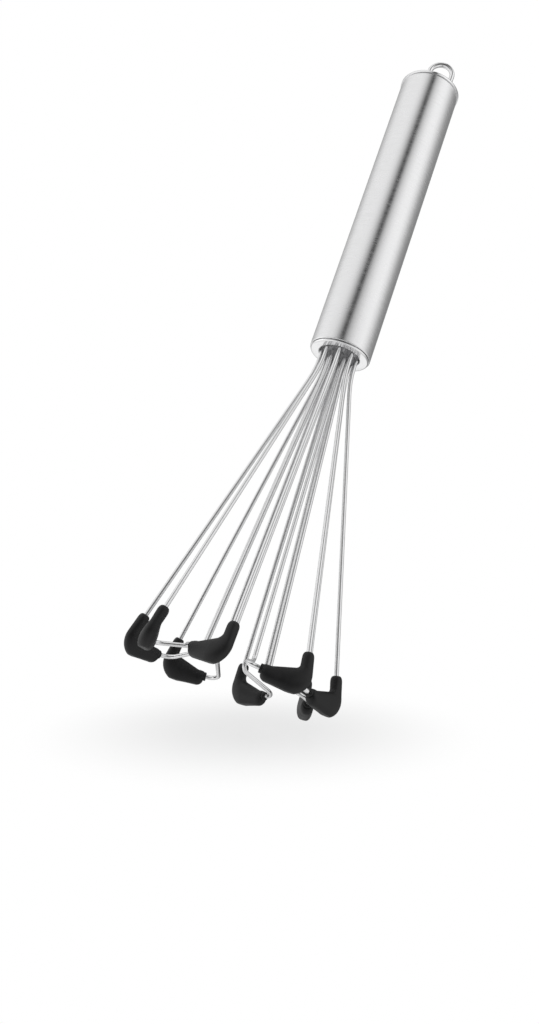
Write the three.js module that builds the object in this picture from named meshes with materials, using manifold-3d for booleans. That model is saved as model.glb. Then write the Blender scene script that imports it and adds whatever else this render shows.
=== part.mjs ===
// A hand whisk with a brushed steel handle and wire loops whose outer corners wear silicone tips.
// Millimetres, +Z up. The whisk stands on its tips: the origin lies on its axis, on that surface.
import * as THREE from 'three';
import { mergeVertices } from 'three/addons/utils/BufferGeometryUtils.js';
import Module from 'manifold-3d';

const wasm = await Module();
wasm.setup();

// Basket of wire loops
const LOOP_COUNT = 8;
const WIRE_DIAMETER = 1.6;
const BASKET_HEIGHT = 134; // from the standing surface to the lower end of the handle tube
const ELBOW_RADIUS = 38.5; // from the axis to a loop's outer corner
const ARM_SWEEP = 49.5; // degrees that the foot of a loop turns sideways from pointing at the axis
const ARM_RISE = 6; // degrees that the foot climbs towards its toe
const TOE_BARE = 1; // straight bare wire between the silicone and the toe's bend
const RETURN_RADIUS = 12.7; // from the axis to the corner where the return strand starts
const RETURN_SIDE = 2.4; // sideways offset of that corner
const RETURN_RISE = 6; // height of that corner over the elbow
const ELBOW_BEND = 4;
const TOE_BEND = 4;
const RETURN_BEND = 3;
const MOUTH_BEND = 45;
const MOUTH_DROP = 9; // from the tube's lower end down to where the strands start to spread

// Silicone tips
const TIP_STEM = 12.2; // cover along the strand, from the elbow's corner
const TIP_REACH = 15.8; // cover along the foot, from the elbow's corner
const BORE_CLEARANCE = 0.28;
const STEM_TOP_WALL = 0.95; // silicone round the bore where the strand enters
const STEM_WALL = 1.12; // silicone beside the bore at the crook, in the plane of the bend
const STEM_SIDE_WALL = 0.85; // silicone beside the bore at the crook, across that plane
const STEM_DOME = 2; // height over which the stem's end rounds off
const CROOK_HEIGHT = 6.4; // along the strand, to the corner where the stem meets the foot
const CROOK_ROUND = 1.6;
const HEEL_ROUND = 7.2;
const HEEL_SIDE_WALL = 1.8;
const SOLE_WALL = 1.9; // silicone under the elbow
const SOLE_FLAT = 0.65; // depth of the flat on which a tip stands
const TOE_TOP_WALL = 1; // silicone over the bore where the foot starts to round off
const TOE_SOLE_WALL = 2.6; // silicone under the bore there
const TOE_SIDE_WALL = 1.3; // silicone beside the bore there
const TOE_ROUND = 2.4; // length over which the foot rounds off into its collar
const TIP_COLLAR = 0.9; // length of the small collar where the wire leaves
const TIP_COLLAR_WALL = 0.52;
const TIP_COLLAR_EDGE = 0.3;

// Handle
const HANDLE_DIAMETER = 24;
const HANDLE_LENGTH = 127;
const TUBE_WALL = 0.8;
const TUBE_EDGE = 0.35;
const FIT_GAP = 0.3; // between pieces that seat on or in each other
const RING_FACE = 4; // from the tube's outside to the mouth
const RING_STEP = 0.4; // the end ring is this much smaller than the tube, all round
const RING_RIM = 0.6; // height of the end ring under the tube
const RING_SPIGOT = 2; // length inside the tube
const RING_INNER_EDGE = 0.5;
const MOUTH_MARGIN = 0.4; // from the outer strands to the ring
const CARRIER_LENGTH = 14;
const CARRIER_WEB = 0.35; // least material between neighbouring wire holes
const WIRE_HOLE_CLEARANCE = 0.25;
const RESIN_LENGTH = 8;
const WIRE_SET_BACK = 1.5; // wire ends below the top of the resin

// Cap and hanging loop
const CAP_PROUD = 0.35;
const CAP_RIM = 1.2;
const CAP_ROUND = 0.9;
const CAP_WALL = 1.6;
const CAP_SKIRT = 8;
const CAP_SKIRT_WALL = 1.5;
const HANGER_WIRE = 2.1;
const HANGER_WIDTH = 11.6;
const HANGER_HEIGHT = 15.3; // over the cap
const HANGER_OFFSET = 2; // the loop stands this far beside the handle's axis
const HANGER_FOOT = 2.2; // each leg's bent end under the cap
const HANGER_BEND = 1.6;
const HANGER_HOLE_CLEARANCE = 0.25;

// Facets
const WIRE_SIDES = 8;
const TIP_SIDES = 12;
const HANGER_SIDES = 10;
const TURNED_SIDES = 44;
const BEND_STEP = THREE.MathUtils.degToRad(16);
const LEAST_BEND_STEPS = 2;
const ARC_DIVISIONS = 3;
const SECTION_POWER = 2.2; // a tip's section lies between an ellipse and a rectangle

// Sizes that follow from the ones above
const wireRadius = WIRE_DIAMETER / 2;
const boreRadius = wireRadius + BORE_CLEARANCE;
const handleRadius = HANDLE_DIAMETER / 2;
const tubeBottom = BASKET_HEIGHT;
const tubeTop = tubeBottom + HANDLE_LENGTH;
const seatRadius = handleRadius - TUBE_WALL - FIT_GAP;
const mouthRadius = handleRadius - RING_FACE;
const ringTop = tubeBottom + RING_SPIGOT;
const carrierBottom = ringTop + FIT_GAP;
const resinBottom = carrierBottom + CARRIER_LENGTH + FIT_GAP;
const wireEnd = resinBottom + RESIN_LENGTH - WIRE_SET_BACK;
const wireHoleRadius = (wireRadius + WIRE_HOLE_CLEARANCE) / Math.cos(Math.PI / WIRE_SIDES);
const loopAngle = 2 * Math.PI / LOOP_COUNT;
const outerPitch = mouthRadius - MOUTH_MARGIN - wireRadius;
const innerPitch = (2 * wireHoleRadius + CARRIER_WEB) / (2 * Math.sin(loopAngle / 2));
const capBottom = tubeTop + FIT_GAP;
const capTop = capBottom + CAP_RIM;
const hangerRadius = HANGER_WIRE / 2;
const hangerReach = HANGER_WIDTH / 2 - hangerRadius;

// Corners of one loop, in the frame of a loop whose elbow lies on +X
const elbow = new THREE.Vector3(ELBOW_RADIUS, 0, boreRadius + SOLE_WALL);
const sweep = THREE.MathUtils.degToRad(ARM_SWEEP);
const rise = THREE.MathUtils.degToRad(ARM_RISE);
const armDirection = new THREE.Vector3(
  -Math.cos(sweep) * Math.cos(rise),
  -Math.sin(sweep) * Math.cos(rise),
  Math.sin(rise),
);
const returnCorner = new THREE.Vector3(RETURN_RADIUS, -RETURN_SIDE, elbow.z + RETURN_RISE);
const mouthHeight = tubeBottom - MOUTH_DROP;
const outerMouth = new THREE.Vector3(outerPitch, 0, mouthHeight);
const innerMouth = new THREE.Vector3(innerPitch, 0, mouthHeight);
const strandDirection = outerMouth.clone().sub(elbow).normalize();
const toe = elbow.clone().addScaledVector(armDirection, TIP_REACH + TOE_BARE + TOE_BEND);

function solidOf(geometry) {
  const bare = geometry.clone();
  bare.deleteAttribute('normal');
  bare.deleteAttribute('uv');
  const merged = mergeVertices(bare);
  return new wasm.Manifold(new wasm.Mesh({
    numProp: 3,
    vertProperties: merged.attributes.position.array,
    triVerts: Uint32Array.from(merged.index.array),
  }));
}

function geometryOf(solid) {
  const mesh = solid.getMesh();
  const geometry = new THREE.BufferGeometry();
  geometry.setAttribute('position', new THREE.BufferAttribute(mesh.vertProperties, 3));
  geometry.setIndex(new THREE.BufferAttribute(mesh.triVerts, 1));
  geometry.computeVertexNormals();
  return geometry;
}

// Points of the arc that rounds the corner between two straight runs.
function roundCorner(before, corner, after, radius, step = BEND_STEP) {
  const toBefore = before.clone().sub(corner).normalize();
  const toAfter = after.clone().sub(corner).normalize();
  const inside = toBefore.angleTo(toAfter);
  const turn = Math.PI - inside;
  const axis = new THREE.Vector3().crossVectors(toAfter, toBefore).normalize();
  const centre = toBefore.clone().add(toAfter).normalize();
  centre.multiplyScalar(radius / Math.sin(inside / 2)).add(corner);
  const start = toBefore.multiplyScalar(radius / Math.tan(inside / 2)).add(corner).sub(centre);
  const steps = Math.max(Math.ceil(turn / step), LEAST_BEND_STEPS);
  const points = [];
  for (let i = 0; i <= steps; i += 1) {
    points.push(start.clone().applyAxisAngle(axis, turn * i / steps).add(centre));
  }
  return points;
}

// A run through corners, each rounded by its own bend radius.
function bentPath(corners, bends) {
  const points = [corners[0]];
  bends.forEach((radius, i) => {
    points.push(...roundCorner(corners[i], corners[i + 1], corners[i + 2], radius));
  });
  points.push(corners[corners.length - 1]);
  return points;
}

// A closed skin over rings of equally many points, each ring turning right-handed about the run.
function skin(rings) {
  const sides = rings[0].length;
  const last = (rings.length - 1) * sides;
  const index = [];
  for (let ring = 0; ring < rings.length - 1; ring += 1) {
    for (let side = 0; side < sides; side += 1) {
      const a = ring * sides + side;
      const b = ring * sides + (side + 1) % sides;
      index.push(a, b, a + sides, b, b + sides, a + sides);
    }
  }
  for (let side = 1; side < sides - 1; side += 1) {
    index.push(0, side + 1, side);
    index.push(last, last + side, last + side + 1);
  }
  const geometry = new THREE.BufferGeometry().setFromPoints(rings.flat());
  geometry.setIndex(index);
  geometry.computeVertexNormals();
  return geometry;
}

// A round tube along a path; its first ring starts at the side nearest to the direction given.
function tube(path, radius, sides, side) {
  let normal = side.clone();
  const rings = path.map((point, i) => {
    const ahead = path[Math.min(i + 1, path.length - 1)];
    const behind = path[Math.max(i - 1, 0)];
    const run = point.clone().sub(behind).normalize().add(ahead.clone().sub(point).normalize());
    run.normalize();
    normal = normal.clone().addScaledVector(run, -normal.dot(run)).normalize();
    const across = new THREE.Vector3().crossVectors(run, normal);
    const ring = [];
    for (let k = 0; k < sides; k += 1) {
      const angle = 2 * Math.PI * k / sides;
      const spoke = normal.clone().multiplyScalar(radius * Math.cos(angle));
      ring.push(spoke.addScaledVector(across, radius * Math.sin(angle)).add(point));
    }
    return ring;
  });
  return skin(rings);
}

function turned(path) {
  const geometry = new THREE.LatheGeometry(path.getPoints(ARC_DIVISIONS), TURNED_SIDES);
  geometry.rotateX(Math.PI / 2);
  return geometry;
}

function circle(radius, sides, x = 0, y = 0, start = 0) {
  const points = [];
  for (let k = 0; k < sides; k += 1) {
    const angle = start + 2 * Math.PI * k / sides;
    points.push(new THREE.Vector2(x + radius * Math.cos(angle), y + radius * Math.sin(angle)));
  }
  return points;
}

// One loop: down from the handle, round the elbow and the toe, and back up near the axis.
function wireLoop() {
  const corners = [
    new THREE.Vector3(outerPitch, 0, wireEnd),
    outerMouth,
    elbow,
    toe,
    returnCorner,
    innerMouth,
    new THREE.Vector3(innerPitch, 0, wireEnd),
  ];
  const path = bentPath(corners, [MOUTH_BEND, ELBOW_BEND, TOE_BEND, RETURN_BEND, MOUTH_BEND]);
  return tube(path, wireRadius, WIRE_SIDES, new THREE.Vector3(1, 0, 0));
}

// One closed section of a tip between an inner and an outer point of its outline.
function tipSection(inner, outer, halfThickness) {
  const middle = inner.clone().add(outer).multiplyScalar(0.5);
  const half = inner.clone().sub(middle);
  const power = 2 / SECTION_POWER;
  const ring = [];
  for (let k = 0; k < TIP_SIDES; k += 1) {
    const angle = 2 * Math.PI * k / TIP_SIDES;
    const along = Math.sign(Math.cos(angle)) * Math.abs(Math.cos(angle)) ** power;
    const across = Math.sign(Math.sin(angle)) * Math.abs(Math.sin(angle)) ** power;
    const point = middle.clone().addScaledVector(half, along);
    point.z = across * halfThickness;
    ring.push(point);
  }
  return ring;
}

// The moulded tip: a stem round the strand, a deep rounded heel, and a foot that tapers to a collar.
// It is drawn in the plane of the wire's bend, x along the foot and y on the strand's side.
function siliconeTip() {
  const up = strandDirection.clone().addScaledVector(armDirection, -strandDirection.dot(armDirection));
  up.normalize();
  const across = new THREE.Vector3().crossVectors(armDirection, up);
  const plane = new THREE.Matrix4().makeBasis(armDirection, up, across).setPosition(elbow);
  const lean = strandDirection.angleTo(armDirection);
  const strand = new THREE.Vector3(Math.cos(lean), Math.sin(lean), 0);
  const inward = new THREE.Vector3(Math.sin(lean), -Math.cos(lean), 0);
  const stemPoint = (height, offset) => (
    strand.clone().multiplyScalar(height).addScaledVector(inward, offset)
  );
  const stemSection = (height, half, side) => (
    tipSection(stemPoint(height, half), stemPoint(height, -half), side)
  );
  const footSection = (x, top, sole, side) => (
    tipSection(new THREE.Vector3(x, top, 0), new THREE.Vector3(x, -sole, 0), side)
  );

  // The stem, from its domed end down
  const topHalf = boreRadius + STEM_TOP_WALL;
  const stemHalf = boreRadius + STEM_WALL;
  const stemSide = boreRadius + STEM_SIDE_WALL;
  const domeShare = Math.SQRT1_2;
  const rings = [
    stemSection(TIP_STEM, boreRadius + STEM_TOP_WALL * (1 - domeShare), topHalf * domeShare),
    stemSection(TIP_STEM - STEM_DOME * (1 - domeShare), boreRadius + STEM_TOP_WALL * domeShare,
      boreRadius + STEM_TOP_WALL * domeShare),
    stemSection(TIP_STEM - STEM_DOME, topHalf, topHalf),
  ];

  // The elbow, between the rounded crook inside it and the rounded heel that meets the surface
  const heelSide = boreRadius + HEEL_SIDE_WALL;
  const toeTop = boreRadius + TOE_TOP_WALL;
  const toeSole = boreRadius + TOE_SOLE_WALL;
  const toeSide = boreRadius + TOE_SIDE_WALL;
  const shoulder = TIP_REACH - TIP_COLLAR;
  const slope = new THREE.Vector3(armDirection.z, up.z, 0);
  const ground = new THREE.Vector3(up.z, -armDirection.z, 0);
  const heelStart = stemPoint(0, -stemHalf);
  const heelDrop = (elbow.z + SOLE_FLAT + slope.dot(heelStart)) / slope.dot(strand);
  const heel = stemPoint(-heelDrop, -stemHalf);
  const crook = stemPoint(CROOK_HEIGHT, stemHalf);
  const footTop = new THREE.Vector3(shoulder - TOE_ROUND, toeTop, 0);
  const elbowSteps = Math.ceil((Math.PI - lean) / BEND_STEP);
  const crookStep = (Math.PI - strand.angleTo(footTop.clone().sub(crook))) / elbowSteps;
  const heelStep = (Math.PI - strand.angleTo(ground)) / elbowSteps;
  const crookTurn = roundCorner(stemPoint(TIP_STEM, stemHalf), crook, footTop, CROOK_ROUND, crookStep);
  const heelTurn = roundCorner(stemPoint(TIP_STEM, -stemHalf), heel, heel.clone().add(ground),
    HEEL_ROUND, heelStep);
  for (let i = 0; i <= elbowSteps; i += 1) {
    const swell = Math.sin(Math.PI / 2 * i / elbowSteps);
    rings.push(tipSection(crookTurn[i], heelTurn[i], stemSide + (heelSide - stemSide) * swell));
  }

  // The foot and the collar where the wire leaves
  const collarHalf = boreRadius + TIP_COLLAR_WALL;
  const collarEdge = collarHalf - TIP_COLLAR_EDGE;
  const roundOff = (full) => collarHalf + (full - collarHalf) * domeShare;
  rings.push(footSection(shoulder - TOE_ROUND, toeTop, toeSole, toeSide));
  const shoulderStart = shoulder - TOE_ROUND * (1 - domeShare);
  rings.push(footSection(shoulderStart, roundOff(toeTop), roundOff(toeSole), roundOff(toeSide)));
  rings.push(footSection(shoulder, collarHalf, collarHalf, collarHalf));
  rings.push(footSection(TIP_REACH - TIP_COLLAR_EDGE, collarHalf, collarHalf, collarHalf));
  rings.push(footSection(TIP_REACH, collarEdge, collarEdge, collarEdge));

  const body = skin(rings).applyMatrix4(plane);
  const overrun = WIRE_DIAMETER;
  const boreStart = elbow.clone().addScaledVector(strandDirection, TIP_STEM + overrun);
  const boreEnd = elbow.clone().addScaledVector(armDirection, TIP_REACH + overrun);
  const borePath = bentPath([boreStart, elbow, boreEnd], [ELBOW_BEND]);
  const bore = tube(borePath, boreRadius, WIRE_SIDES, new THREE.Vector3(1, 0, 0));
  const span = 2 * (ELBOW_RADIUS + TIP_REACH);
  const surface = new THREE.BoxGeometry(span, span, TIP_STEM);
  surface.translate(0, 0, -TIP_STEM / 2);
  return geometryOf(solidOf(body).subtract(solidOf(bore)).subtract(solidOf(surface)));
}

function handleTube() {
  const inner = handleRadius - TUBE_WALL;
  const path = new THREE.Path();
  path.moveTo(inner, tubeBottom);
  path.lineTo(handleRadius - TUBE_EDGE, tubeBottom);
  path.lineTo(handleRadius, tubeBottom + TUBE_EDGE);
  path.lineTo(handleRadius, tubeTop - TUBE_EDGE);
  path.lineTo(handleRadius - TUBE_EDGE, tubeTop);
  path.lineTo(inner, tubeTop);
  path.closePath();
  return turned(path);
}

// The polished ring that rounds off the lower end, with the spigot that holds it in the tube.
function endRing() {
  const shoulder = tubeBottom - FIT_GAP;
  const bottom = shoulder - RING_RIM;
  const outer = handleRadius - RING_STEP;
  const path = new THREE.Path();
  path.moveTo(mouthRadius, bottom + RING_INNER_EDGE);
  path.lineTo(mouthRadius + RING_INNER_EDGE, bottom);
  path.lineTo(outer - RING_RIM, bottom);
  path.absarc(outer - RING_RIM, shoulder, RING_RIM, -Math.PI / 2, 0);
  path.lineTo(seatRadius, shoulder);
  path.lineTo(seatRadius, ringTop);
  path.lineTo(mouthRadius, ringTop);
  path.closePath();
  return turned(path);
}

// A plug across the tube, with a hole for each strand.
function strandPlug(bottom, length) {
  const shape = new THREE.Shape(circle(seatRadius, TURNED_SIDES));
  for (let i = 0; i < LOOP_COUNT; i += 1) {
    const angle = i * loopAngle;
    [outerPitch, innerPitch].forEach((pitch) => {
      const x = pitch * Math.cos(angle);
      const y = pitch * Math.sin(angle);
      shape.holes.push(new THREE.Path(circle(wireHoleRadius, WIRE_SIDES, x, y, angle)));
    });
  }
  const geometry = new THREE.ExtrudeGeometry(shape, { depth: length, bevelEnabled: false });
  geometry.translate(0, 0, bottom);
  return geometry;
}

// The closing cap: a lid with a rounded rim, a skirt inside the tube, and two holes for the loop.
function topCap() {
  const rim = handleRadius + CAP_PROUD;
  const under = capTop - CAP_WALL;
  const skirtEnd = capBottom - CAP_SKIRT;
  const path = new THREE.Path();
  path.moveTo(0, under);
  path.lineTo(seatRadius - CAP_SKIRT_WALL, under);
  path.lineTo(seatRadius - CAP_SKIRT_WALL, skirtEnd);
  path.lineTo(seatRadius, skirtEnd);
  path.lineTo(seatRadius, capBottom);
  path.lineTo(rim, capBottom);
  path.absarc(rim - CAP_ROUND, capTop - CAP_ROUND, CAP_ROUND, 0, Math.PI / 2);
  path.lineTo(0, capTop);
  let cap = solidOf(turned(path));
  const holeRadius = (hangerRadius + HANGER_HOLE_CLEARANCE) / Math.cos(Math.PI / HANGER_SIDES);
  [-hangerReach, hangerReach].forEach((leg) => {
    const hole = new THREE.Shape(circle(holeRadius, HANGER_SIDES, HANGER_OFFSET + leg));
    const drill = new THREE.ExtrudeGeometry(hole, { depth: 3 * CAP_WALL, bevelEnabled: false });
    drill.translate(0, 0, under - CAP_WALL);
    cap = cap.subtract(solidOf(drill));
  });
  return geometryOf(cap);
}

// The hanging loop: an arch of wire whose two legs pass through the cap and turn outwards under it.
function hangingLoop() {
  const crown = capTop + HANGER_HEIGHT - hangerRadius;
  const spring = crown - hangerReach;
  const footHeight = capTop - CAP_WALL - HANGER_BEND;
  const footEnd = hangerReach + HANGER_FOOT;
  const corner = (x, z) => new THREE.Vector3(x, 0, z);
  const shift = new THREE.Vector3(HANGER_OFFSET, 0, 0);
  const legTop = corner(-hangerReach, spring);
  const leftLeg = bentPath([corner(-footEnd, footHeight), corner(-hangerReach, footHeight), legTop],
    [HANGER_BEND]);
  const arch = [];
  const archSteps = Math.ceil(Math.PI / BEND_STEP);
  for (let i = 1; i < archSteps; i += 1) {
    const angle = Math.PI * (1 - i / archSteps);
    arch.push(corner(hangerReach * Math.cos(angle), spring + hangerReach * Math.sin(angle)));
  }
  const rightLeg = leftLeg.map((point) => corner(-point.x, point.z)).reverse();
  const path = [...leftLeg, ...arch, ...rightLeg].map((point) => point.add(shift));
  return tube(path, hangerRadius, HANGER_SIDES, new THREE.Vector3(0, 1, 0));
}

const brushedSteel = { color: 0xd3d4d5, roughness: 0.36, metalness: 1 };
const polishedSteel = { color: 0xe2e3e4, roughness: 0.14, metalness: 1 };
const springSteel = { color: 0xdadbdc, roughness: 0.2, metalness: 1 };
const blackSilicone = { color: 0x1a1a1b, roughness: 0.62, metalness: 0 };
const greyPlastic = { color: 0xc3c3c4, roughness: 0.5, metalness: 0 };
const amberResin = { color: 0x8c7a52, roughness: 0.4, metalness: 0 };

const whisk = new THREE.Group();

function add(name, geometry, finish, angle = 0) {
  const mesh = new THREE.Mesh(geometry, new THREE.MeshStandardMaterial(finish));
  mesh.name = name;
  mesh.rotation.z = angle;
  whisk.add(mesh);
}

add('handle_tube', handleTube(), brushedSteel);
add('end_ring', endRing(), polishedSteel);
add('wire_carrier', strandPlug(carrierBottom, CARRIER_LENGTH), greyPlastic);
add('resin_plug', strandPlug(resinBottom, RESIN_LENGTH), amberResin);
add('top_cap', topCap(), polishedSteel);
add('hanging_loop', hangingLoop(), polishedSteel);

const loopGeometry = wireLoop();
const tipGeometry = siliconeTip();
for (let i = 0; i < LOOP_COUNT; i += 1) {
  add(`wire_loop_${i + 1}`, loopGeometry, springSteel, i * loopAngle);
  add(`silicone_tip_${i + 1}`, tipGeometry, blackSilicone, i * loopAngle);
}

export default whisk;
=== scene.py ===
# A hand whisk: brushed steel handle, polished ends, eight wire loops and their black silicone feet.
# Each piece has the place and size of the solid that it stands for, with a finer surface.
import math

import bmesh
import bpy
from mathutils import Matrix, Vector


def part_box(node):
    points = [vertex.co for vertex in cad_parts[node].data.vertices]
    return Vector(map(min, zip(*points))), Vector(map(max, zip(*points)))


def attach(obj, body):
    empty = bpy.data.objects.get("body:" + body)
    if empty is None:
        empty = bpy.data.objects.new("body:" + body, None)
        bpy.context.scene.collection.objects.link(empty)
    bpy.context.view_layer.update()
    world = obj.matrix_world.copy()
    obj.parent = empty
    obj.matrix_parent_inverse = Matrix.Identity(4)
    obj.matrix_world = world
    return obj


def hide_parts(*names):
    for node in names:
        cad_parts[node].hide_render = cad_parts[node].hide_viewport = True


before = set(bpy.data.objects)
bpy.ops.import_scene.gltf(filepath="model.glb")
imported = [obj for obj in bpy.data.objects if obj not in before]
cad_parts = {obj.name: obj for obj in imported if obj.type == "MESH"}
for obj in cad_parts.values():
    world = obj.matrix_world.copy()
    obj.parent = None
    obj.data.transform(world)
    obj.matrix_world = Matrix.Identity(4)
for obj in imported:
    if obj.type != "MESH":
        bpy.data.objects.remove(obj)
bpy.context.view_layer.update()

MM = 0.001

# Wire loops
LOOP_COUNT = 8
WIRE_DIAMETER = 1.6 * MM
ELBOW_RADIUS = 38.5 * MM
ELBOW_HEIGHT = 2.98 * MM
ARM_SWEEP = math.radians(49.5)
ARM_RISE = math.radians(6)
TOE_LENGTH = 20.8 * MM  # along the foot, from the elbow's corner to the toe's corner
RETURN_RADIUS = 12.7 * MM
RETURN_SIDE = 2.4 * MM
RETURN_RISE = 6 * MM
ELBOW_BEND = 4 * MM
TOE_BEND = 4 * MM
RETURN_BEND = 3 * MM
MOUTH_BEND = 45 * MM
MOUTH_DROP = 9 * MM
OUTER_PITCH = 6.8 * MM  # from the axis to the outer strands in the mouth
INNER_PITCH = 3.43 * MM

# Silicone feet
TIP_STEM = 12.2 * MM
TIP_REACH = 15.8 * MM
SLEEVE_CLEARANCE = 0.05 * MM
BORE_RADIUS = 1.08 * MM
STEM_TOP_WALL = 0.95 * MM
STEM_WALL = 1.12 * MM
STEM_SIDE_WALL = 0.85 * MM
STEM_DOME = 2 * MM
STEM_END_FLAT = 0.25  # share of the wall that is flat on the stem's end, inside the dome
CROOK_HEIGHT = 6.4 * MM
CROOK_ROUND = 1.6 * MM
HEEL_ROUND = 7.2 * MM
HEEL_SIDE_WALL = 1.8 * MM
SOLE_FLAT = 0.65 * MM  # how deep the heel's round is cut where it stands
TOE_TOP_WALL = 1 * MM
TOE_SOLE_WALL = 2.6 * MM
TOE_SIDE_WALL = 1.3 * MM
TOE_ROUND = 2.4 * MM
TIP_COLLAR = 0.9 * MM
TIP_COLLAR_WALL = 0.52 * MM
TIP_COLLAR_EDGE = 0.3 * MM
SECTION_POWER = 2.2  # 2 is an ellipse, and more is closer to a rectangle

# Handle, end ring, cap and hanging loop
TUBE_WALL = 0.8 * MM
TUBE_EDGE = 0.35 * MM
FIT_GAP = 0.3 * MM
CAP_SEAM = 0.08 * MM  # what shows of the gap between the tube and the cap
RING_FACE = 4 * MM
RING_STEP = 0.4 * MM
RING_RIM = 0.6 * MM
RING_SPIGOT = 2 * MM
RING_INNER_EDGE = 0.5 * MM
CAP_ROUND = 0.9 * MM
CAP_RIM = 1.2 * MM
CAP_WALL = 1.6 * MM
CAP_SKIRT = 8 * MM
CAP_SKIRT_WALL = 1.5 * MM
HANGER_WIRE = 2.1 * MM
HANGER_FOOT = 2.2 * MM
HANGER_BEND = 1.6 * MM
HANGER_HOLE_CLEARANCE = 0.12 * MM

# Camera: where the photograph was taken from, and its turn about its own line of sight
CAMERA_PLACE = Vector((42.9, -381.7, -54.6)) * MM
CAMERA_AIM = Vector((-5.6, -0.7, 64.8)) * MM
CAMERA_ROLL = math.radians(19.15)
CAMERA_LENS = 38.67
CAMERA_NEAR = 10 * MM

# Floor: a clear disc whose thin grey veil is painted shadow under the whisk
FLOOR_TILT = math.radians(1.5)  # towards the camera, from square to its picture
FLOOR_GAP = 2 * MM
FLOOR_MIDDLE = Vector((9, 0, -14)) * MM  # from the origin, along the camera's own right, up and back
FLOOR_RADIUS = 86 * MM
PAINTED_SHADOW_FULL = 0.1  # share of the radius that the painted shadow covers fully before it starts to fade
# painted shadow: how much the grey veil covers the white in its middle, and the veil's grey
PAINTED_SHADOW_COVER = 0.21
PAINTED_SHADOW_TONE = 0.12
FLOOR_ROUGHNESS = 0.3
FLOOR_GLOSS = 0.1

# Studio: the soft edges between its levels, by height from -1 straight down to 1 straight up
UNDERFOOT_EDGE = (-0.56, -0.48)
GROUND_EDGE = (-0.42, -0.3)
UPPER_EDGE = (0.22, 0.32)
GAP_SLANT = math.radians(-26)  # how far the gap at the lens leans for each unit of height

# Smoothness
BEND_STEP = math.radians(5)
WIRE_SIDES = 20
TIP_SIDES = 40
TURNED_SIDES = 160
FLOOR_SIDES = 96
ARC_STEPS = 8
ELBOW_STEPS = 24
SHARP_ANGLE = math.radians(38)

# Sizes read from the solids, and what follows from them
tube_low, tube_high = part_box("handle_tube")
handle_radius = tube_high.x
tube_bottom = tube_low.z
tube_top = tube_high.z
seat_radius = handle_radius - TUBE_WALL - FIT_GAP
mouth_radius = handle_radius - RING_FACE
cap_top = tube_top + FIT_GAP + CAP_RIM
cap_rim_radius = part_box("top_cap")[1].x
hanger_low, hanger_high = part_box("hanging_loop")
hanger_middle = (hanger_low.x + hanger_high.x) / 2
hanger_reach = hanger_high.x - hanger_middle - HANGER_FOOT  # from the loop's middle to a leg's
wire_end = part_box("wire_loop_1")[1].z
loop_angle = 2 * math.pi / LOOP_COUNT
wire_radius = WIRE_DIAMETER / 2

# One loop's corners and directions, for the loop whose elbow lies on +X
elbow = Vector((ELBOW_RADIUS, 0, ELBOW_HEIGHT))
arm_direction = Vector((
    -math.cos(ARM_SWEEP) * math.cos(ARM_RISE),
    -math.sin(ARM_SWEEP) * math.cos(ARM_RISE),
    math.sin(ARM_RISE),
))
outer_mouth = Vector((OUTER_PITCH, 0, tube_bottom - MOUTH_DROP))
inner_mouth = Vector((INNER_PITCH, 0, tube_bottom - MOUTH_DROP))
strand_direction = (outer_mouth - elbow).normalized()
foot_up = (strand_direction - arm_direction * strand_direction.dot(arm_direction)).normalized()

quarter_turn = [math.pi / 2 * i / ARC_STEPS for i in range(ARC_STEPS + 1)]


def ring_angles(sides):
    """Equal steps once round."""
    return [2 * math.pi * k / sides for k in range(sides)]


def neighbours(path, i):
    """The points before and after one of a path, or that point itself at an end."""
    return path[max(i - 1, 0)], path[min(i + 1, len(path) - 1)]


def round_corner(before, corner, after, radius, steps=None):
    """Points of the arc that rounds the corner between two straight runs."""
    to_before = (before - corner).normalized()
    to_after = (after - corner).normalized()
    inside = to_before.angle(to_after)
    turn = math.pi - inside
    axis = to_after.cross(to_before).normalized()
    centre = corner + (to_before + to_after).normalized() * (radius / math.sin(inside / 2))
    start = corner + to_before * (radius / math.tan(inside / 2)) - centre
    count = steps or math.ceil(turn / BEND_STEP)
    return [centre + Matrix.Rotation(turn * i / count, 3, axis) @ start for i in range(count + 1)]


def bent_path(corners, bends):
    """A run through corners, each rounded by its own bend radius."""
    points = [corners[0]]
    for i, radius in enumerate(bends):
        points.extend(round_corner(corners[i], corners[i + 1], corners[i + 2], radius))
    points.append(corners[-1])
    return points


def tube_rings(path, radius, sides, side):
    """Rings of points round a path, carried along it without twist."""
    rings = []
    normal = side
    for i, point in enumerate(path):
        behind, ahead = neighbours(path, i)
        run = ((point - behind).normalized() + (ahead - point).normalized()).normalized()
        normal = (normal - run * normal.dot(run)).normalized()
        across = run.cross(normal)
        spokes = [normal * math.cos(a) + across * math.sin(a) for a in ring_angles(sides)]
        rings.append([point + spoke * radius for spoke in spokes])
    return rings


def turned_rings(profile):
    """Rings about the handle's axis for a profile of (radius, height) points."""
    angles = ring_angles(TURNED_SIDES)
    return [[Vector((r * math.cos(a), r * math.sin(a), z)) for a in angles] for r, z in profile]


def arc(centre, radius, start, end):
    """Profile points of an arc, with its angles in degrees."""
    points = []
    for i in range(ARC_STEPS + 1):
        angle = math.radians(start + (end - start) * i / ARC_STEPS)
        points.append((centre[0] + radius * math.cos(angle), centre[1] + radius * math.sin(angle)))
    return points


def placed(name, data):
    """A new object in the scene."""
    made = bpy.data.objects.new(name, data)
    bpy.context.scene.collection.objects.link(made)
    return made


def mesh_object(name, mesh):
    """A new object in the scene from a finished bmesh."""
    data = bpy.data.meshes.new(name)
    mesh.to_mesh(data)
    mesh.free()
    return placed(name, data)


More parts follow.
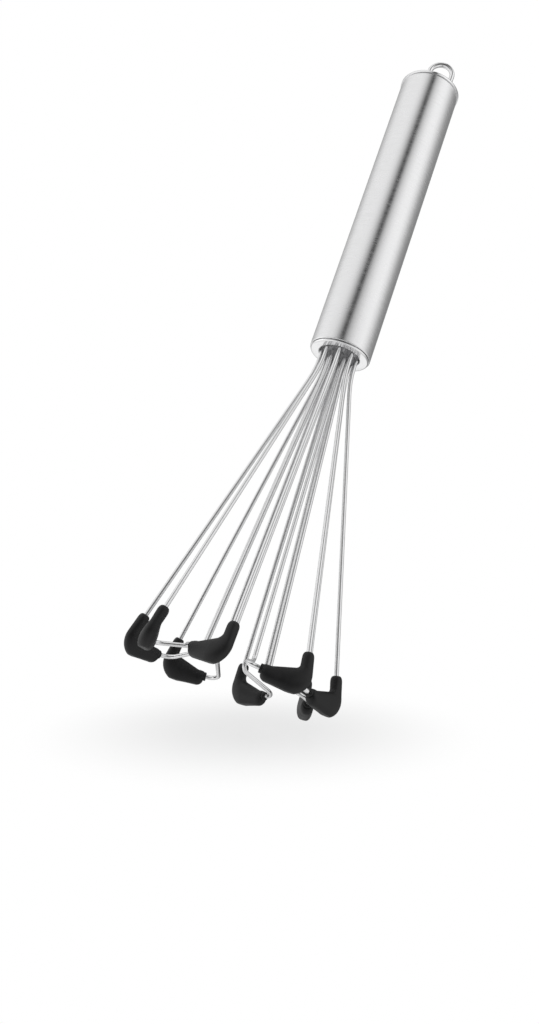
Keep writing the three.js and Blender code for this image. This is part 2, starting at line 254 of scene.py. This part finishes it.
def skin(name, rings, closed=False):
    """A mesh object over rings of equally many points, closed into a loop or with flat ends.
    Its map runs along the rings in metres and once round them."""
    sides = len(rings[0])
    mesh = bmesh.new()
    layer = mesh.loops.layers.uv.new("along")
    vertices = [[mesh.verts.new(point) for point in ring] for ring in rings]
    run = [0.0]
    for i in range(1, len(rings)):
        run.append(run[-1] + (rings[i][0] - rings[i - 1][0]).length)
    run.append(run[-1] + (rings[0][0] - rings[-1][0]).length)
    for i in range(len(rings) if closed else len(rings) - 1):
        j = (i + 1) % len(rings)
        for k in range(sides):
            m = (k + 1) % sides
            face = mesh.faces.new((vertices[i][k], vertices[i][m], vertices[j][m], vertices[j][k]))
            places = ((i, k), (i, k + 1), (i + 1, k + 1), (i + 1, k))
            for loop, (along, round_share) in zip(face.loops, places):
                loop[layer].uv = (run[along], round_share / sides)
    if not closed:
        mesh.faces.new(list(reversed(vertices[0])))
        mesh.faces.new(vertices[-1])
    bmesh.ops.recalc_face_normals(mesh, faces=mesh.faces)
    return mesh_object(name, mesh)


def dress(piece, node, material):
    """Smooths a piece, gives it its finish, hangs it on the root body and hides the solid that it stands
    for.
    """
    piece.data.shade_smooth()
    piece.data.set_sharp_from_angle(angle=SHARP_ANGLE)
    piece.data.materials.clear()
    piece.data.materials.append(material)
    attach(piece, "root")
    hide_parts(node)
    return piece


def new_material(name):
    """A material with its node tree and its surface shader."""
    material = bpy.data.materials.new(name)
    material.use_nodes = True
    tree = material.node_tree
    return material, tree, tree.nodes["Principled BSDF"]


def feed(tree, socket, value):
    """Sets a socket to a value, or links another socket to it."""
    if isinstance(value, bpy.types.NodeSocket):
        tree.links.new(value, socket)
    else:
        socket.default_value = value


def add_node(tree, kind, **inputs):
    """A shader node with some of its inputs fed, by their names."""
    made = tree.nodes.new(kind)
    for name, value in inputs.items():
        feed(tree, made.inputs[name.replace("_", " ")], value)
    return made


def maths(tree, operation, *values):
    """The result of a maths node."""
    made = tree.nodes.new("ShaderNodeMath")
    made.operation = operation
    for socket, value in zip(made.inputs, values):
        feed(tree, socket, value)
    return made.outputs["Value"]


def mixed(tree, share, first, second, blend="MIX"):
    """Two colours mixed by a share from 0 to 1."""
    made = add_node(tree, "ShaderNodeMixRGB", Fac=share, Color1=first, Color2=second)
    made.blend_type = blend
    return made.outputs["Color"]


def noise(tree, coordinates, per_metre, detail, distortion=0.0):
    """Noise over coordinates in metres, with so many features a metre along each of them."""
    mapping = add_node(tree, "ShaderNodeMapping", Vector=coordinates, Scale=per_metre)
    texture = add_node(tree, "ShaderNodeTexNoise", Vector=mapping.outputs["Vector"], Scale=1.0,
                       Detail=detail, Distortion=distortion)
    return texture.outputs["Fac"]


def spread(tree, value, low, high, from_low=0.3, from_high=0.7, curve="LINEAR"):
    """A value laid from one range over another. The first is where most of a noise lies, unless given."""
    ranged = add_node(tree, "ShaderNodeMapRange", Value=value, From_Min=from_low, From_Max=from_high,
                      To_Min=low, To_Max=high)
    ranged.interpolation_type = curve
    return ranged.outputs["Result"]


def two_tone(tree, value, dark, light):
    """A colour between two colours by a value from 0 to 1."""
    ramp = add_node(tree, "ShaderNodeValToRGB", Fac=value)
    ramp.color_ramp.elements[0].color = (*dark, 1)
    ramp.color_ramp.elements[1].color = (*light, 1)
    return ramp.outputs["Color"]


def finish(tree, shader, colour, roughness, relief=None, strength=0.0, depth=0.0):
    """Links a surface's colour and roughness, and its bump where it has one."""
    tree.links.new(colour, shader.inputs["Base Color"])
    tree.links.new(roughness, shader.inputs["Roughness"])
    if relief is not None:
        bump = add_node(tree, "ShaderNodeBump", Height=relief, Strength=strength, Distance=depth)
        tree.links.new(bump.outputs["Normal"], shader.inputs["Normal"])


def brushed_steel():
    """Satin steel: a fine grain and coarser streaks, both longer round the tube than along it."""
    material, tree, shader = new_material("brushed_steel")
    place = add_node(tree, "ShaderNodeTexCoord").outputs["Object"]
    grain = noise(tree, place, (700, 700, 4200), detail=3.0)
    streaks = noise(tree, place, (220, 220, 1400), detail=4.0)
    tone = spread(tree, streaks, 0, 1)
    colour = two_tone(tree, tone, (0.805, 0.805, 0.81), (0.857, 0.857, 0.862))
    roughness = spread(tree, streaks, 0.20, 0.28)
    finish(tree, shader, colour, roughness, relief=grain, strength=0.06, depth=0.01 * MM)
    tangent = tree.nodes.new("ShaderNodeTangent")
    tangent.direction_type = "RADIAL"
    tangent.axis = "Z"
    tree.links.new(tangent.outputs["Tangent"], shader.inputs["Tangent"])
    shader.inputs["Metallic"].default_value = 1.0
    shader.inputs["Anisotropic"].default_value = 0.3
    shader.inputs["Anisotropic Rotation"].default_value = 0.25
    return material


def polished_steel():
    """Bright metal with faint wiping marks and hairlines."""
    material, tree, shader = new_material("polished_steel")
    place = add_node(tree, "ShaderNodeTexCoord").outputs["Object"]
    wipes = noise(tree, place, (220, 220, 220), detail=3.0, distortion=0.6)
    hairlines = noise(tree, place, (300, 5000, 900), detail=2.0)
    colour = two_tone(tree, wipes, (0.84, 0.84, 0.845), (0.91, 0.91, 0.915))
    roughness = spread(tree, wipes, 0.08, 0.17)
    finish(tree, shader, colour, roughness, relief=hairlines, strength=0.05, depth=0.01 * MM)
    shader.inputs["Metallic"].default_value = 1.0
    return material


def wire_steel():
    """Drawn wire: bright, with faint lines along its length."""
    material, tree, shader = new_material("wire_steel")
    along = add_node(tree, "ShaderNodeTexCoord").outputs["UV"]
    lines = noise(tree, along, (90, 34, 1), detail=3.0)
    patches = noise(tree, along, (260, 3, 1), detail=2.0)
    colour = two_tone(tree, lines, (0.80, 0.80, 0.805), (0.88, 0.88, 0.885))
    roughness = spread(tree, patches, 0.20, 0.27)
    finish(tree, shader, colour, roughness, relief=lines, strength=0.03, depth=0.01 * MM)
    shader.inputs["Metallic"].default_value = 1.0
    return material


def black_silicone():
    """Moulded silicone: near black, matt, with a fine skin and slight dusty patches."""
    material, tree, shader = new_material("black_silicone")
    place = add_node(tree, "ShaderNodeTexCoord").outputs["Object"]
    skin_grain = noise(tree, place, (2600, 2600, 2600), detail=2.0)
    dust = noise(tree, place, (260, 260, 260), detail=4.0, distortion=0.8)
    colour = two_tone(tree, dust, (0.007, 0.007, 0.0074), (0.016, 0.016, 0.0166))
    roughness = spread(tree, dust, 0.40, 0.52)
    finish(tree, shader, colour, roughness, relief=skin_grain, strength=0.2, depth=0.02 * MM)
    shader.inputs["Specular IOR Level"].default_value = 0.3
    return material


def carrier_plastic():
    """Grey moulded plastic with an eroded skin."""
    material, tree, shader = new_material("carrier_plastic")
    place = add_node(tree, "ShaderNodeTexCoord").outputs["Object"]
    erosion = noise(tree, place, (1800, 1800, 1800), detail=3.0)
    colour = two_tone(tree, erosion, (0.48, 0.48, 0.49), (0.62, 0.62, 0.63))
    roughness = spread(tree, erosion, 0.4, 0.6)
    finish(tree, shader, colour, roughness, relief=erosion, strength=0.3, depth=0.03 * MM)
    return material


def setting_resin():
    """Cast amber resin, cloudy inside."""
    material, tree, shader = new_material("setting_resin")
    place = add_node(tree, "ShaderNodeTexCoord").outputs["Object"]
    clouds = noise(tree, place, (300, 300, 300), detail=4.0, distortion=1.2)
    colour = two_tone(tree, clouds, (0.34, 0.25, 0.10), (0.52, 0.43, 0.24))
    finish(tree, shader, colour, spread(tree, clouds, 0.15, 0.3))
    return material


def tip_section(inner, outer, half_thickness):
    """One section of a foot, between an ellipse and a rectangle, from the inner to the outer point."""
    middle = (inner + outer) / 2
    half = inner - middle
    power = 2 / SECTION_POWER
    ring = []
    for angle in ring_angles(TIP_SIDES):
        along = math.copysign(abs(math.cos(angle)) ** power, math.cos(angle))
        across = math.copysign(abs(math.sin(angle)) ** power, math.sin(angle))
        point = middle + half * along
        point.z = across * half_thickness
        ring.append(point)
    return ring


def bore_section(middle, inward, radius):
    """One ring of the bore, started on the inner side as the sections are."""
    across = Vector((0, 0, 1))
    spokes = [inward * math.cos(a) + across * math.sin(a) for a in ring_angles(TIP_SIDES)]
    return [middle + spoke * radius for spoke in spokes]


def tip_rings():
    """A foot in the plane of its wire's bend, x along the foot and y on the strand's side:
    outside from the stem's domed end to the collar, then back through the bore."""
    lean = strand_direction.angle(arm_direction)
    strand = Vector((math.cos(lean), math.sin(lean), 0))
    inward = Vector((math.sin(lean), -math.cos(lean), 0))
    sleeve = wire_radius + SLEEVE_CLEARANCE

    def stem_point(height, offset):
        return strand * height + inward * offset

    def stem_section(height, half, side):
        return tip_section(stem_point(height, half), stem_point(height, -half), side)

    def foot_section(x, top, sole, side):
        return tip_section(Vector((x, top, 0)), Vector((x, -sole, 0)), side)

    rings = []
    top_half = BORE_RADIUS + STEM_TOP_WALL
    stem_half = BORE_RADIUS + STEM_WALL
    stem_side = BORE_RADIUS + STEM_SIDE_WALL
    for angle in quarter_turn:
        height = TIP_STEM - STEM_DOME * (1 - math.cos(angle))
        share = STEM_END_FLAT + (1 - STEM_END_FLAT) * math.sin(angle)
        half = sleeve + (top_half - sleeve) * share
        rings.append(stem_section(height, half, half))

    heel_side = BORE_RADIUS + HEEL_SIDE_WALL
    toe_top = BORE_RADIUS + TOE_TOP_WALL
    toe_sole = BORE_RADIUS + TOE_SOLE_WALL
    toe_side = BORE_RADIUS + TOE_SIDE_WALL
    shoulder = TIP_REACH - TIP_COLLAR
    slope = Vector((arm_direction.z, foot_up.z, 0))
    ground = Vector((foot_up.z, -arm_direction.z, 0))
    heel_start = stem_point(0, -stem_half)
    heel_drop = (elbow.z + SOLE_FLAT + slope.dot(heel_start)) / slope.dot(strand)
    heel = stem_point(-heel_drop, -stem_half)
    crook = stem_point(CROOK_HEIGHT, stem_half)
    foot_top = Vector((shoulder - TOE_ROUND, toe_top, 0))
    crook_turn = round_corner(stem_point(TIP_STEM, stem_half), crook, foot_top, CROOK_ROUND, ELBOW_STEPS)
    heel_turn = round_corner(stem_point(TIP_STEM, -stem_half), heel, heel + ground, HEEL_ROUND, ELBOW_STEPS)
    for i in range(ELBOW_STEPS + 1):
        swell = math.sin(math.pi / 2 * i / ELBOW_STEPS)
        rings.append(tip_section(crook_turn[i], heel_turn[i], stem_side + (heel_side - stem_side) * swell))

    collar_half = BORE_RADIUS + TIP_COLLAR_WALL
    for angle in quarter_turn:
        x = shoulder - TOE_ROUND * (1 - math.sin(angle))
        top = collar_half + (toe_top - collar_half) * math.cos(angle)
        sole = collar_half + (toe_sole - collar_half) * math.cos(angle)
        side = collar_half + (toe_side - collar_half) * math.cos(angle)
        rings.append(foot_section(x, top, sole, side))
    for angle in quarter_turn:
        x = TIP_REACH - TIP_COLLAR_EDGE * (1 - math.sin(angle))
        half = collar_half - TIP_COLLAR_EDGE * (1 - math.cos(angle))
        rings.append(foot_section(x, half, half, half))

    bore_path = bent_path([Vector((TIP_REACH, 0, 0)), Vector((0, 0, 0)), strand * TIP_STEM], [ELBOW_BEND])
    for i, point in enumerate(bore_path):
        behind, ahead = neighbours(bore_path, i)
        run = (ahead - behind).normalized()
        rings.append(bore_section(point, Vector((run.y, -run.x, 0)), sleeve))
    return rings


def silicone_tip(index, material):
    """One foot, cut flat where it stands."""
    across = arm_direction.cross(foot_up)
    plane = Matrix((arm_direction, foot_up, across)).transposed().to_4x4()
    plane.translation = elbow
    place = Matrix.Rotation(index * loop_angle, 4, "Z") @ plane
    rings = []
    for ring in tip_rings():
        moved = [place @ point for point in ring]
        rings.append([Vector((point.x, point.y, max(point.z, 0))) for point in moved])
    name = f"silicone_tip_{index + 1}"
    return dress(skin(f"{name}_moulding", rings, closed=True), name, material)


def wire_loop(index, material):
    """One loop: down from the handle, round the elbow and the toe, and back up near the axis."""
    corners = [
        Vector((OUTER_PITCH, 0, wire_end)),
        outer_mouth,
        elbow,
        elbow + arm_direction * TOE_LENGTH,
        Vector((RETURN_RADIUS, -RETURN_SIDE, ELBOW_HEIGHT + RETURN_RISE)),
        inner_mouth,
        Vector((INNER_PITCH, 0, wire_end)),
    ]
    turn = Matrix.Rotation(index * loop_angle, 3, "Z")
    bends = [MOUTH_BEND, ELBOW_BEND, TOE_BEND, RETURN_BEND, MOUTH_BEND]
    path = [turn @ point for point in bent_path(corners, bends)]
    rings = tube_rings(path, wire_radius, WIRE_SIDES, turn @ Vector((1, 0, 0)))
    name = f"wire_loop_{index + 1}"
    return dress(skin(f"{name}_wire", rings), name, material)


def handle_tube(material):
    """The handle's tube, with rounded outer edges."""
    inner = handle_radius - TUBE_WALL
    edge_radius = handle_radius - TUBE_EDGE
    profile = [(inner, tube_bottom)]
    profile += arc((edge_radius, tube_bottom + TUBE_EDGE), TUBE_EDGE, -90, 0)
    profile += arc((edge_radius, tube_top - TUBE_EDGE), TUBE_EDGE, 0, 90)
    profile.append((inner, tube_top))
    piece = skin("handle_tube_brushed", turned_rings(profile), closed=True)
    return dress(piece, "handle_tube", material)


def end_ring(material):
    """The ring in the tube's lower end, rounded at the rim and at the mouth."""
    shoulder = tube_bottom - FIT_GAP
    bottom = shoulder - RING_RIM
    outer = handle_radius - RING_STEP
    profile = arc((mouth_radius + RING_INNER_EDGE, bottom + RING_INNER_EDGE), RING_INNER_EDGE, 180, 270)
    profile += arc((outer - RING_RIM, shoulder), RING_RIM, -90, 0)
    profile += [
        (seat_radius, shoulder),
        (seat_radius, tube_bottom + RING_SPIGOT),
        (mouth_radius, tube_bottom + RING_SPIGOT),
    ]
    piece = skin("end_ring_polished", turned_rings(profile), closed=True)
    return dress(piece, "end_ring", material)


def drilled(piece, holes, radius, low, high):
    """The piece with round holes cut along Z, at places along X."""
    for x in holes:
        circle = [(x + radius * math.cos(a), radius * math.sin(a)) for a in ring_angles(WIRE_SIDES)]
        cutter = skin("drill", [[Vector((*point, z)) for point in circle] for z in (low, high)])
        cut = piece.modifiers.new("hole", "BOOLEAN")
        cut.object = cutter
        cut.operation = "DIFFERENCE"
        cut.solver = "EXACT"
        evaluated = piece.evaluated_get(bpy.context.evaluated_depsgraph_get())
        piece.data = bpy.data.meshes.new_from_object(evaluated)
        piece.modifiers.clear()
        bpy.data.objects.remove(cutter)
    return piece


def top_cap(material):
    """The lid on the tube's upper end, with its skirt and the holes for the hanging loop."""
    cap_bottom = tube_top + CAP_SEAM
    under = cap_top - CAP_WALL
    skirt_inner = seat_radius - CAP_SKIRT_WALL
    skirt_end = cap_bottom - CAP_SKIRT
    profile = [
        (skirt_inner, under),
        (skirt_inner, skirt_end),
        (seat_radius, skirt_end),
        (seat_radius, cap_bottom),
        (cap_rim_radius, cap_bottom),
    ]
    profile += arc((cap_rim_radius - CAP_ROUND, cap_top - CAP_ROUND), CAP_ROUND, 0, 90)
    piece = skin("top_cap_polished", turned_rings(profile))
    holes = (hanger_middle - hanger_reach, hanger_middle + hanger_reach)
    hole_radius = HANGER_WIRE / 2 + HANGER_HOLE_CLEARANCE
    drilled(piece, holes, hole_radius, under - CAP_WALL, cap_top + CAP_WALL)
    return dress(piece, "top_cap", material)


def hanging_loop(material):
    """The arch of wire on the cap, whose legs turn outwards under it."""
    spring = hanger_high.z - HANGER_WIRE / 2 - hanger_reach
    foot_height = hanger_low.z + HANGER_WIRE / 2
    left_leg = bent_path([
        Vector((-hanger_reach - HANGER_FOOT, 0, foot_height)),
        Vector((-hanger_reach, 0, foot_height)),
        Vector((-hanger_reach, 0, spring)),
    ], [HANGER_BEND])
    steps = math.ceil(math.pi / BEND_STEP)
    arch = []
    for i in range(1, steps):
        angle = math.pi * (1 - i / steps)
        arch.append(Vector((hanger_reach * math.cos(angle), 0, spring + hanger_reach * math.sin(angle))))
    right_leg = [Vector((-point.x, 0, point.z)) for point in reversed(left_leg)]
    middle = Vector((hanger_middle, 0, 0))
    path = [point + middle for point in left_leg + arch + right_leg]
    rings = tube_rings(path, HANGER_WIRE / 2, WIRE_SIDES, Vector((0, 1, 0)))
    return dress(skin("hanging_loop_wire", rings), "hanging_loop", material)


def camera():
    """The photograph's camera. Gives back how it is turned."""
    data = bpy.data.cameras.new("camera")
    data.lens = CAMERA_LENS
    data.clip_start = CAMERA_NEAR
    made = placed("camera", data)
    sight = (CAMERA_AIM - CAMERA_PLACE).normalized()
    turn = sight.to_track_quat("-Z", "Y").to_matrix() @ Matrix.Rotation(CAMERA_ROLL, 3, "Z")
    made.matrix_world = Matrix.Translation(CAMERA_PLACE) @ turn.to_4x4()
    bpy.context.scene.camera = made
    return turn


def floor(camera_turn, feet):
    """A round floor just under the lowest foot, level as the photograph's camera sees it. It is a thin
    grey veil over the white, painted shadow under the whisk, which fades out towards its edge and is clear
    from below."""
    upward = (camera_turn @ Vector((0, math.cos(FLOOR_TILT), math.sin(FLOOR_TILT)))).normalized()
    lowest = min(vertex.co.dot(upward) for foot in feet for vertex in foot.data.vertices)
    mesh = bmesh.new()
    bmesh.ops.create_circle(mesh, cap_ends=True, radius=FLOOR_RADIUS, segments=FLOOR_SIDES)
    piece = mesh_object("floor", mesh)
    middle = camera_turn @ FLOOR_MIDDLE
    middle += upward * (lowest - FLOOR_GAP - middle.dot(upward))
    turn = upward.to_track_quat("Z", "Y").to_matrix().to_4x4()
    piece.matrix_world = Matrix.Translation(middle) @ turn

    material, tree, shader = new_material("floor")
    distance = tree.nodes.new("ShaderNodeVectorMath")
    distance.operation = "LENGTH"
    tree.links.new(add_node(tree, "ShaderNodeTexCoord").outputs["Object"], distance.inputs[0])
    # painted shadow: the grey veil is fullest in the middle and fades out towards the edge
    shadow_fade = spread(tree, distance.outputs["Value"], PAINTED_SHADOW_COVER, 0,
                  PAINTED_SHADOW_FULL * FLOOR_RADIUS, FLOOR_RADIUS, "SMOOTHSTEP")
    behind = add_node(tree, "ShaderNodeNewGeometry").outputs["Backfacing"]
    shadow_cover = maths(tree, "MULTIPLY", shadow_fade, maths(tree, "SUBTRACT", 1, behind))
    tree.links.new(shadow_cover, shader.inputs["Alpha"])
    # the veil's grey is painted shadow, not a colour of the floor
    shader.inputs["Base Color"].default_value = (PAINTED_SHADOW_TONE, PAINTED_SHADOW_TONE, PAINTED_SHADOW_TONE, 1)
    shader.inputs["Roughness"].default_value = FLOOR_ROUGHNESS
    shader.inputs["Specular IOR Level"].default_value = FLOOR_GLOSS
    piece.data.materials.append(material)


def round_levels(tree, angle, stops):
    """Grey levels by an angle from -pi to pi, through (degrees, level) stops."""
    made = add_node(tree, "ShaderNodeValToRGB", Fac=spread(tree, angle, 0, 1, -math.pi, math.pi))
    elements = made.color_ramp.elements
    while len(elements) < len(stops):
        elements.new(0.5)
    for element, (degrees, level) in zip(elements, stops):
        element.position = degrees / 360 + 0.5
        element.color = (level, level, level, 1)
    return made.outputs["Color"]


def studio():
    """A white tent round the whisk, which only the light and the reflections see: the camera sees white.
    Its levels go by the angle round the handle's axis from the camera, positive to the right.
    High up it has a dark gap at the lens and a dimmer far side. Low down it is dim in front, where no
    light stands, and bright on the left. The ground is paler in front and bright at the sides."""
    world = bpy.data.worlds.new("studio")
    world.use_nodes = True
    bpy.context.scene.world = world
    tree = world.node_tree
    background = tree.nodes["Background"]
    bearing = math.atan2(CAMERA_PLACE.y, CAMERA_PLACE.x)
    direction = add_node(tree, "ShaderNodeTexCoord").outputs["Generated"]
    turned = add_node(tree, "ShaderNodeMapping", Vector=direction, Rotation=(0, 0, -bearing))
    split = add_node(tree, "ShaderNodeSeparateXYZ", Vector=turned.outputs["Vector"])
    height = split.outputs["Z"]
    angle = maths(tree, "ARCTAN2", split.outputs["Y"], split.outputs["X"])

    sides = round_levels(tree, angle, [
        (-180, 0.28), (-150, 0.50), (-133, 0.64), (-113, 0.86), (-95, 0.92), (-30, 0.95), (10, 1.0),
        (66, 1.04), (84, 0.84), (97, 0.60), (113, 0.36), (135, 0.26), (180, 0.26),
    ])
    gap = round_levels(tree, maths(tree, "MULTIPLY_ADD", height, GAP_SLANT, angle), [
        (-66, 1.0), (-55, 0.93), (-45, 0.75), (-35, 0.45), (-25, 0.02),
        (-18, 0.02), (-9, 0.5), (-1, 0.7), (11, 0.88), (25, 1.0),
    ])
    upper = mixed(tree, 1.0, sides, gap, "MULTIPLY")
    lower = round_levels(tree, angle, [
        (-180, 0.5), (-128, 0.7), (-112, 1.2), (-85, 1.2), (-60, 0.5), (-32, 0.2), (-13, 0.08),
        (15, 0.08), (36, 0.4), (60, 0.85), (95, 0.9), (115, 0.35), (180, 0.35),
    ])
    ground = round_levels(tree, angle, [
        (-180, 1.0), (-130, 1.0), (-110, 1.2), (-85, 1.2), (-60, 0.7), (0, 0.6),
        (90, 0.9), (110, 0.3), (160, 0.3), (170, 1.0), (180, 1.0),
    ])
    underfoot = round_levels(tree, angle, [
        (-180, 0.75), (-130, 0.85), (-95, 1.0), (-60, 0.95), (-22, 0.6), (0, 0.6),
        (30, 0.8), (70, 1.0), (100, 0.8), (130, 0.65), (180, 0.75),
    ])
    tent = underfoot
    for edge, above in ((UNDERFOOT_EDGE, ground), (GROUND_EDGE, lower), (UPPER_EDGE, upper)):
        tent = mixed(tree, spread(tree, height, 0, 1, *edge), tent, above)

    path = tree.nodes.new("ShaderNodeLightPath")
    seen = maths(tree, "MAXIMUM", path.outputs["Is Camera Ray"], path.outputs["Is Transmission Ray"])
    tree.links.new(mixed(tree, seen, tent, (1, 1, 1, 1)), background.inputs["Color"])
    background.inputs["Strength"].default_value = 1.0


bpy.context.scene.view_settings.view_transform = "Standard"
photo_turn = camera()
studio()

steel = polished_steel()
wire = wire_steel()
silicone = black_silicone()
handle_tube(brushed_steel())
end_ring(steel)
top_cap(steel)
hanging_loop(steel)
tips = []
for loop_index in range(LOOP_COUNT):
    wire_loop(loop_index, wire)
    tips.append(silicone_tip(loop_index, silicone))

for kept, surface in (("wire_carrier", carrier_plastic()), ("resin_plug", setting_resin())):
    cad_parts[kept].data.materials.clear()
    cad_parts[kept].data.materials.append(surface)

floor(photo_turn, tips)
